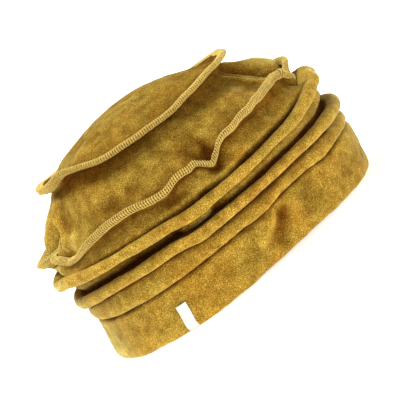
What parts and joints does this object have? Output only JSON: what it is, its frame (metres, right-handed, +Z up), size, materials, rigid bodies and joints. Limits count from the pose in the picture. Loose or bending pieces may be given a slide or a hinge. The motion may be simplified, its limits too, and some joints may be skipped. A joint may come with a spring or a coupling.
{
  "type": "fleece beanie",
  "caption": "Soft fleece beanie with a domed top, two outside overlocked seams, rolled tucks and a wide turned-in hem.",
  "frame": {"origin": "middle of the hem's underside, where the hat stands on its rim", "axes": "+X towards the wearer's forehead, +Y towards the wearer's left, +Z up to the crown"},
  "size_m": [0.2256, 0.1888, 0.1368],
  "materials": {
    "fleece": "matt, brushed pile",
    "overlock_thread": "matt, dense stitches",
    "label_tape": "satin woven tape"
  },
  "bodies": {
    "root": {"top_panel": "fleece", "upper_side_panel": "fleece", "lower_side_panel": "fleece", "upper_overlock_edge": "overlock_thread", "lower_overlock_edge": "overlock_thread", "label": "label_tape"}
  },
  "joints": []
}
